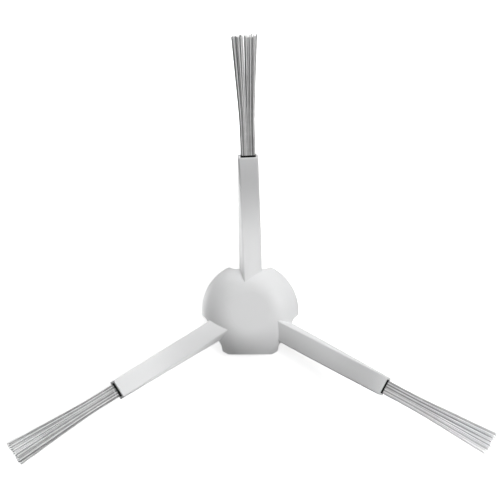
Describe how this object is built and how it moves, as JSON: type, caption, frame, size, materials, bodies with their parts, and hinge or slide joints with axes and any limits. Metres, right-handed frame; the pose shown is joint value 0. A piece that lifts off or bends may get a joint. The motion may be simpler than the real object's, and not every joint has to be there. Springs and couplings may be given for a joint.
{
  "type": "robot vacuum side brush",
  "caption": "White domed hub with twisted, cranked arms, each ending in a fanned tuft of grey bristles; it turns on a square drive and sweeps debris under a robot vacuum.",
  "frame": {"origin": "on the hub's axis in the plane of the hub's lower rim, at the mouth of the drive pilot", "axes": "+Z along the hub's axis out of the dome, +Y along the arm that points straight up in the picture, +X to the right"},
  "size_m": [0.148, 0.1295, 0.0336],
  "materials": {
    "white_plastic": "satin moulded white plastic",
    "grey_nylon": "drawn grey nylon filament"
  },
  "bodies": {
    "root": {"hub_and_arms": "white_plastic", "bristle_tuft_top": "grey_nylon", "bristle_tuft_left": "grey_nylon", "bristle_tuft_right": "grey_nylon"}
  },
  "joints": []
}
